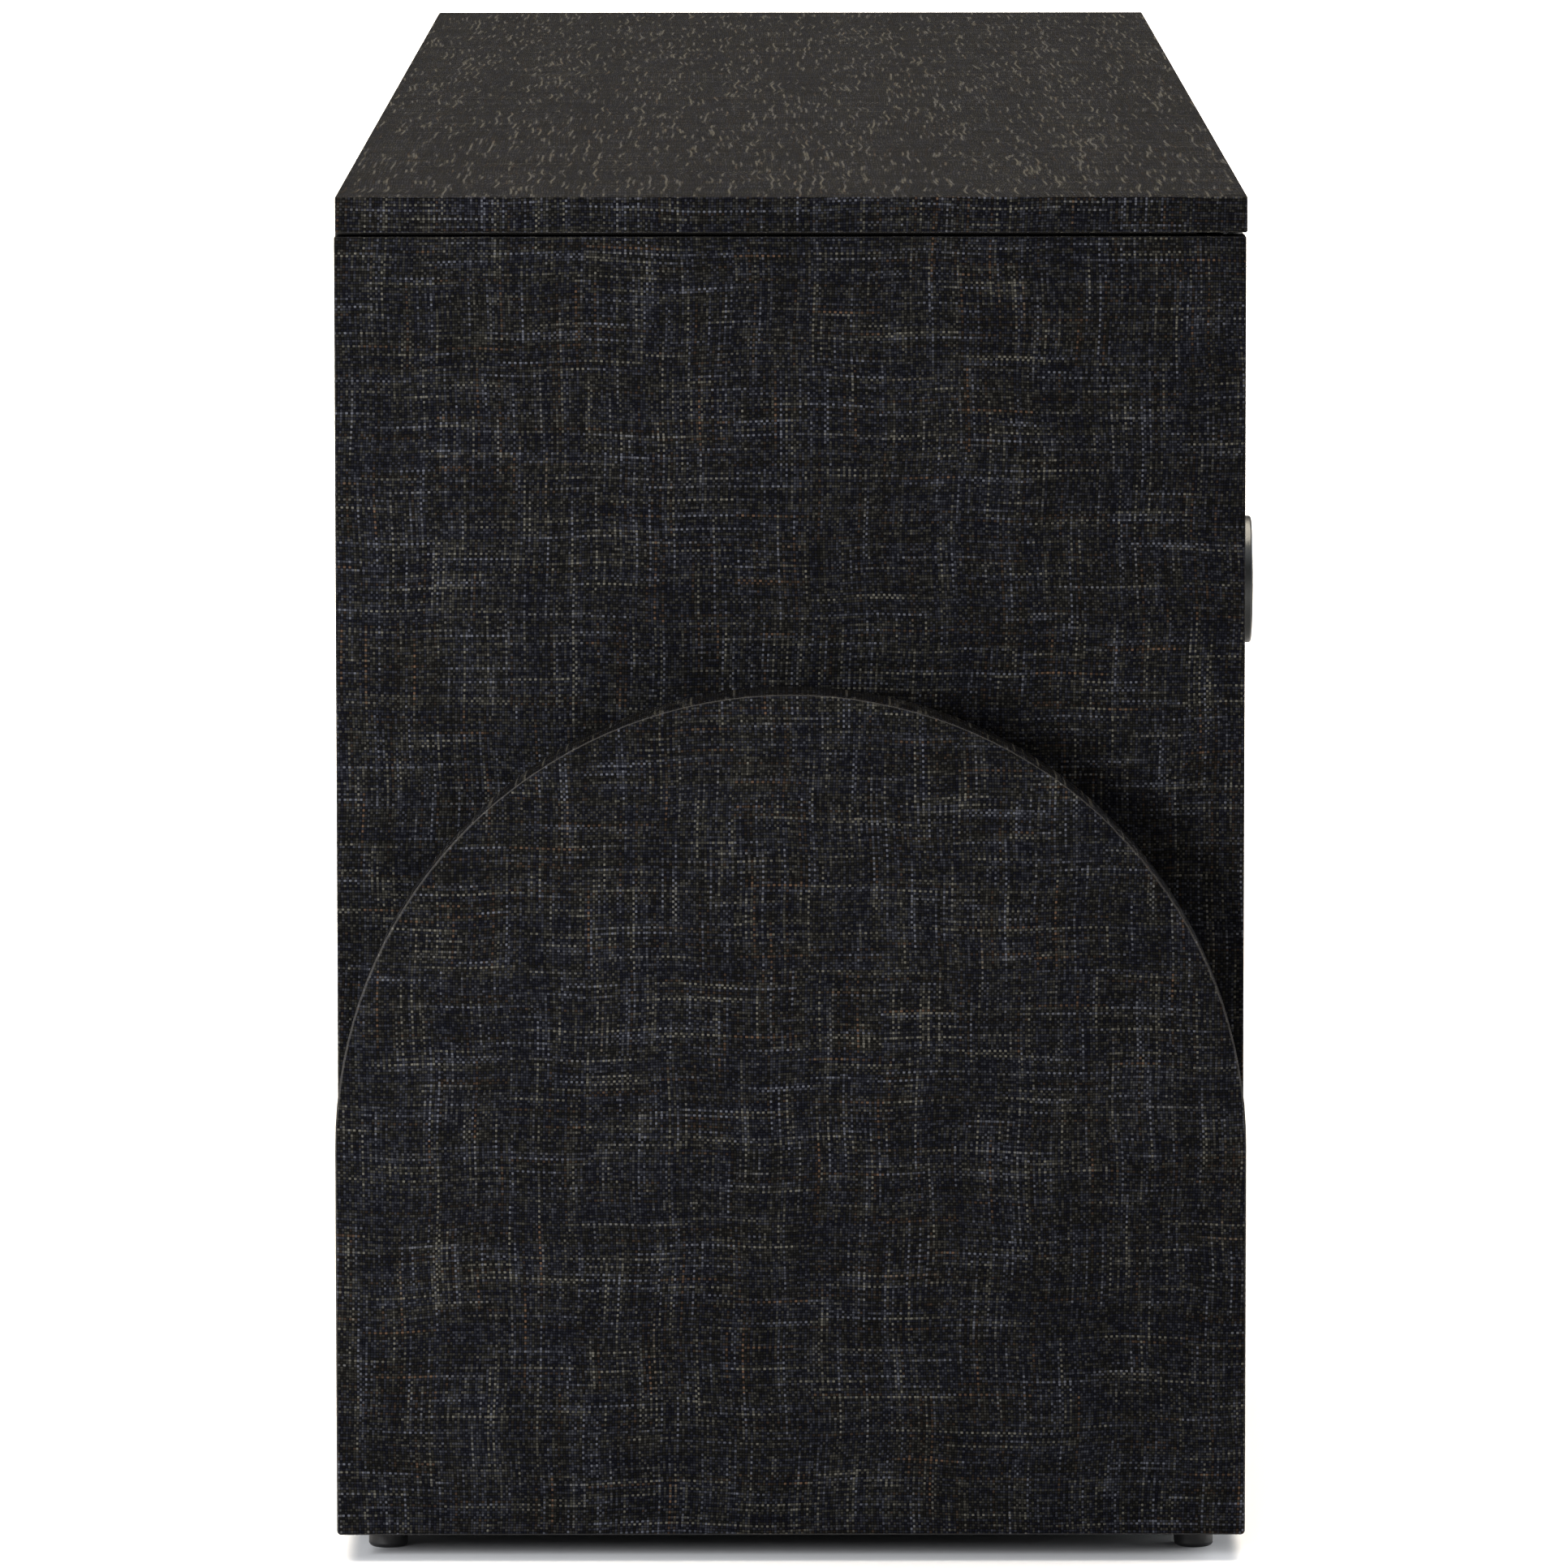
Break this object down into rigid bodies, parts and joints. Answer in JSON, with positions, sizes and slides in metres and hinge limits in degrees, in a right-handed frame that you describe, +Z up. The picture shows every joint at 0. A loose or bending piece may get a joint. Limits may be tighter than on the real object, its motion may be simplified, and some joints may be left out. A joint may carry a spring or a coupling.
{
  "type": "dresser",
  "caption": "Long low dresser in charcoal linen wrap with half-round arch panels on its ends, inset drawers between door cupboards and round dark metal pulls.",
  "frame": {"origin": "on the floor under the middle of the dresser's whole box, pulls included", "axes": "+X along the dresser to the right as seen from the front, the front faces -Y, +Z up"},
  "size_m": [2.134, 0.5286, 0.762],
  "materials": {
    "linen_wrap": "lacquered charcoal linen, crisp edges",
    "gunmetal": "brushed dark gunmetal",
    "dark_veneer": "dark stained, satin",
    "drawer_wood": "clear satin lacquer",
    "zinc_steel": "zinc plated",
    "bright_steel": "nickel plated",
    "black_plastic": "moulded, satin",
    "white_nylon": "moulded nylon, satin"
  },
  "bodies": {
    "cabinet": {"top_slab": "linen_wrap", "bottom_panel": "linen_wrap", "carcass_top": "dark_veneer", "back_panel": "dark_veneer", "partition_left": "dark_veneer", "partition_center": "dark_veneer", "partition_right": "dark_veneer", "side_panel_left": "linen_wrap", "side_panel_right": "linen_wrap", "arch_panel_left": "linen_wrap", "arch_panel_right": "linen_wrap", "shelf_left": "dark_veneer", "shelf_right": "dark_veneer", "shelf_pins": "bright_steel", "foot_glides": "black_plastic", "glide_stems": "bright_steel", "arch_screws": "bright_steel", "back_screws": "bright_steel", "door_bushes": "black_plastic", "door_catches": "black_plastic", "slide_rails": "zinc_steel", "slide_rollers": "white_nylon"},
    "door_left": {"door_panel_left": "linen_wrap", "door_pull_left": "gunmetal", "door_pivots_left": "bright_steel", "door_strike_left": "bright_steel"},
    "door_right": {"door_panel_right": "linen_wrap", "door_pull_right": "gunmetal", "door_pivots_right": "bright_steel", "door_strike_right": "bright_steel"},
    "drawer_top_left": {"drawer_front_top_left": "linen_wrap", "drawer_box_top_left": "drawer_wood", "drawer_bottom_top_left": "drawer_wood", "drawer_pull_top_left": "gunmetal", "drawer_runners_top_left": "zinc_steel"},
    "drawer_top_right": {"drawer_front_top_right": "linen_wrap", "drawer_box_top_right": "drawer_wood", "drawer_bottom_top_right": "drawer_wood", "drawer_pull_top_right": "gunmetal", "drawer_runners_top_right": "zinc_steel"},
    "drawer_middle_left": {"drawer_front_middle_left": "linen_wrap", "drawer_box_middle_left": "drawer_wood", "drawer_bottom_middle_left": "drawer_wood", "drawer_pull_middle_left": "gunmetal", "drawer_runners_middle_left": "zinc_steel"},
    "drawer_middle_right": {"drawer_front_middle_right": "linen_wrap", "drawer_box_middle_right": "drawer_wood", "drawer_bottom_middle_right": "drawer_wood", "drawer_pull_middle_right": "gunmetal", "drawer_runners_middle_right": "zinc_steel"},
    "drawer_bottom_left": {"drawer_front_bottom_left": "linen_wrap", "drawer_box_bottom_left": "drawer_wood", "drawer_bottom_bottom_left": "drawer_wood", "drawer_pull_bottom_left": "gunmetal", "drawer_runners_bottom_left": "zinc_steel"},
    "drawer_bottom_right": {"drawer_front_bottom_right": "linen_wrap", "drawer_box_bottom_right": "drawer_wood", "drawer_bottom_bottom_right": "drawer_wood", "drawer_pull_bottom_right": "gunmetal", "drawer_runners_bottom_right": "zinc_steel"}
  },
  "joints": [
    {"name": "door_left_hinge", "type": "hinge", "parent": "cabinet", "child": "door_left", "pos_m": [-0.9875, -0.23575, 0.0385], "axis": [0, 0, -1], "range_deg": [0, 105]},
    {"name": "door_right_hinge", "type": "hinge", "parent": "cabinet", "child": "door_right", "pos_m": [0.9875, -0.23575, 0.0385], "axis": [0, 0, 1], "range_deg": [0, 105]},
    {"name": "drawer_top_left_slide", "type": "slide", "parent": "cabinet", "child": "drawer_top_left", "axis": [0, -1, 0], "range_m": [0, 0.33]},
    {"name": "drawer_top_right_slide", "type": "slide", "parent": "cabinet", "child": "drawer_top_right", "axis": [0, -1, 0], "range_m": [0, 0.33]},
    {"name": "drawer_middle_left_slide", "type": "slide", "parent": "cabinet", "child": "drawer_middle_left", "axis": [0, -1, 0], "range_m": [0, 0.33]},
    {"name": "drawer_middle_right_slide", "type": "slide", "parent": "cabinet", "child": "drawer_middle_right", "axis": [0, -1, 0], "range_m": [0, 0.33]},
    {"name": "drawer_bottom_left_slide", "type": "slide", "parent": "cabinet", "child": "drawer_bottom_left", "axis": [0, -1, 0], "range_m": [0, 0.33]},
    {"name": "drawer_bottom_right_slide", "type": "slide", "parent": "cabinet", "child": "drawer_bottom_right", "axis": [0, -1, 0], "range_m": [0, 0.33]}
  ]
}
